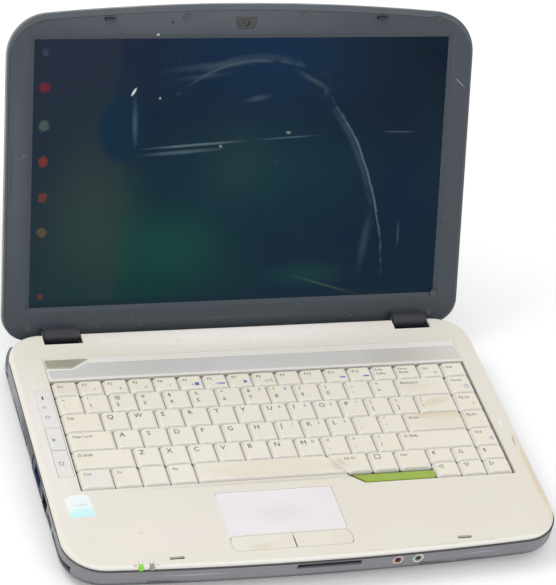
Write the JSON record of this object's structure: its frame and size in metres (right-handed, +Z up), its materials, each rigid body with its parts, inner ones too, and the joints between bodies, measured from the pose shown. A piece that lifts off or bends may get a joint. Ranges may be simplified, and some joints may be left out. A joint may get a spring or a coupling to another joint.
{
  "type": "laptop computer",
  "caption": "Hinged notebook computer with a bowed lid, lit wide screen, sprung keyboard and touchpad buttons, opening drive tray and removable battery.",
  "frame": {"origin": "on the table, under the middle of the base", "axes": "+X to the user's right along the hinge, +Y from the user towards the screen, +Z up"},
  "size_m": [0.3444, 0.3376, 0.2361],
  "materials": {
    "upper_case": "cream, satin",
    "lower_case": "light slate grey, fine texture",
    "cover_white": "warm white, semi-gloss",
    "silver_trim": "silver, satin",
    "key_plate": "pale painted sheet",
    "membrane": "pale rubber",
    "green_trim": "lime green",
    "sticker": "pale blue label film",
    "panel_white": "white, satin",
    "touch_film": "pale, very fine texture",
    "light_pipe": "translucent, lit",
    "jack": "pinkish white",
    "slot_steel": "dark stamped sheet",
    "board": "green solder mask",
    "copper": "copper",
    "dark_plastic": "near black",
    "drive_steel": "stamped steel",
    "battery_shell": "dark grey",
    "door_plastic": "grey",
    "screw_steel": "dark plated",
    "foot_rubber": "dark rubber",
    "hinge_steel": "dark steel",
    "display_blue": "blue",
    "power_key": "olive grey, semi-gloss",
    "click_key": "cream, satin",
    "key_cream": "yellowed cream, fine matte",
    "lid_grey": "grey, glossy outside",
    "bezel_grey": "slate grey, satin",
    "screen_glass": "lit screen with an anti-glare film",
    "lens_black": "black, glossy",
    "hook_plastic": "dark",
    "pad_rubber": "slate rubber",
    "arm_steel": "zinc plated"
  },
  "bodies": {
    "base": {"bottom_case": "lower_case", "top_case": "upper_case", "centre_cover": "cover_white", "silver_strip": "silver_trim", "keyboard_plate": "key_plate", "rubber_domes": "membrane", "name_strip": "green_trim", "palm_sticker": "sticker", "indicator_panel": "panel_white", "touchpad": "touch_film", "status_lights": "light_pipe", "audio_jacks": "jack", "card_reader": "slot_steel", "motherboard": "board", "heatsink": "copper", "fan_housing": "dark_plastic", "hard_drive": "drive_steel", "optical_drive": "drive_steel", "battery_pack": "battery_shell", "memory_door": "door_plastic", "drive_door": "door_plastic", "bottom_screws": "screw_steel", "rubber_feet": "foot_rubber", "left_hinge_bracket": "hinge_steel", "right_hinge_bracket": "hinge_steel", "speakers": "dark_plastic", "wireless_card": "board", "memory_modules": "board", "usb_sockets": "drive_steel", "display_socket": "display_blue", "network_socket": "dark_plastic", "power_socket": "dark_plastic"},
    "lid": {"lid_back_cover": "lid_grey", "lid_bezel": "bezel_grey", "lcd_panel": "screen_glass", "webcam": "lens_black", "lid_hooks": "hook_plastic", "lid_pads": "pad_rubber", "inverter_board": "board", "left_hinge_arm": "arm_steel", "right_hinge_arm": "arm_steel"},
    "fan": {"fan_impeller": "dark_plastic"},
    "tray": {"drive_tray": "lower_case"},
    "eject": {"eject_button": "door_plastic"},
    "latch": {"battery_latch": "dark_plastic"},
    "function_keys": {"function_keys": "key_cream"},
    "number_keys": {"number_keys": "key_cream"},
    "upper_letter_keys": {"upper_letter_keys": "key_cream"},
    "home_letter_keys": {"home_letter_keys": "key_cream"},
    "lower_letter_keys": {"lower_letter_keys": "key_cream"},
    "modifier_keys": {"modifier_keys": "key_cream"},
    "navigation_keys": {"navigation_keys": "key_cream"},
    "arrow_keys": {"arrow_keys": "key_cream"},
    "space_bar": {"space_bar": "key_cream"},
    "enter_key": {"enter_key": "key_cream"},
    "power_button": {"power_button": "power_key"},
    "mail_button": {"mail_button": "panel_white"},
    "web_button": {"web_button": "panel_white"},
    "left_click_button": {"left_click_button": "click_key"},
    "right_click_button": {"right_click_button": "click_key"}
  },
  "joints": [
    {"name": "lid_hinge", "type": "hinge", "parent": "base", "child": "lid", "pos_m": [0, 0.10972, 0.0244], "axis": [-1, 0, 0], "range_deg": [-114.9, 30]},
    {"name": "fan_spin", "type": "hinge", "parent": "base", "child": "fan", "pos_m": [-0.13, 0.0345, 0.0048], "axis": [0, 0, 1], "continuous": true},
    {"name": "tray_slide", "type": "slide", "parent": "base", "child": "tray", "axis": [1, 0, 0], "range_m": [0, 0.118]},
    {"name": "eject_press", "type": "slide", "parent": "tray", "child": "eject", "axis": [-1, 0, 0], "range_m": [0, 0.001], "stiffness_N_per_m": 400, "springref_m": -0.001},
    {"name": "latch_slide", "type": "slide", "parent": "base", "child": "latch", "axis": [1, 0, 0], "range_m": [0, 0.005]},
    {"name": "function_keys_press", "type": "slide", "parent": "base", "child": "function_keys", "axis": [0, 0.0244, -0.9997], "range_m": [0, 0.002], "stiffness_N_per_m": 300, "springref_m": -0.001},
    {"name": "number_keys_press", "type": "slide", "parent": "base", "child": "number_keys", "axis": [0, 0.0244, -0.9997], "range_m": [0, 0.002], "stiffness_N_per_m": 300, "springref_m": -0.001},
    {"name": "upper_letter_keys_press", "type": "slide", "parent": "base", "child": "upper_letter_keys", "axis": [0, 0.0244, -0.9997], "range_m": [0, 0.002], "stiffness_N_per_m": 300, "springref_m": -0.001},
    {"name": "home_letter_keys_press", "type": "slide", "parent": "base", "child": "home_letter_keys", "axis": [0, 0.0244, -0.9997], "range_m": [0, 0.002], "stiffness_N_per_m": 300, "springref_m": -0.001},
    {"name": "lower_letter_keys_press", "type": "slide", "parent": "base", "child": "lower_letter_keys", "axis": [0, 0.0244, -0.9997], "range_m": [0, 0.002], "stiffness_N_per_m": 300, "springref_m": -0.001},
    {"name": "modifier_keys_press", "type": "slide", "parent": "base", "child": "modifier_keys", "axis": [0, 0.0244, -0.9997], "range_m": [0, 0.002], "stiffness_N_per_m": 300, "springref_m": -0.001},
    {"name": "navigation_keys_press", "type": "slide", "parent": "base", "child": "navigation_keys", "axis": [0, 0.0244, -0.9997], "range_m": [0, 0.002], "stiffness_N_per_m": 300, "springref_m": -0.001},
    {"name": "arrow_keys_press", "type": "slide", "parent": "base", "child": "arrow_keys", "axis": [0, 0.0244, -0.9997], "range_m": [0, 0.002], "stiffness_N_per_m": 300, "springref_m": -0.001},
    {"name": "space_bar_press", "type": "slide", "parent": "base", "child": "space_bar", "axis": [0, 0.0244, -0.9997], "range_m": [0, 0.002], "stiffness_N_per_m": 300, "springref_m": -0.001},
    {"name": "enter_key_press", "type": "slide", "parent": "base", "child": "enter_key", "axis": [0, 0.0244, -0.9997], "range_m": [0, 0.002], "stiffness_N_per_m": 300, "springref_m": -0.001},
    {"name": "power_button_press", "type": "slide", "parent": "base", "child": "power_button", "axis": [0, 0.0244, -0.9997], "range_m": [0, 0.0008], "stiffness_N_per_m": 800, "springref_m": -0.0005},
    {"name": "mail_button_press", "type": "slide", "parent": "base", "child": "mail_button", "axis": [0, 0.0244, -0.9997], "range_m": [0, 0.0006], "stiffness_N_per_m": 800, "springref_m": -0.0005},
    {"name": "web_button_press", "type": "slide", "parent": "base", "child": "web_button", "axis": [0, 0.0244, -0.9997], "range_m": [0, 0.0006], "stiffness_N_per_m": 800, "springref_m": -0.0005},
    {"name": "left_click_button_press", "type": "slide", "parent": "base", "child": "left_click_button", "axis": [0, 0.0244, -0.9997], "range_m": [0, 0.0006], "stiffness_N_per_m": 800, "springref_m": -0.0005},
    {"name": "right_click_button_press", "type": "slide", "parent": "base", "child": "right_click_button", "axis": [0, 0.0244, -0.9997], "range_m": [0, 0.0006], "stiffness_N_per_m": 800, "springref_m": -0.0005}
  ]
}
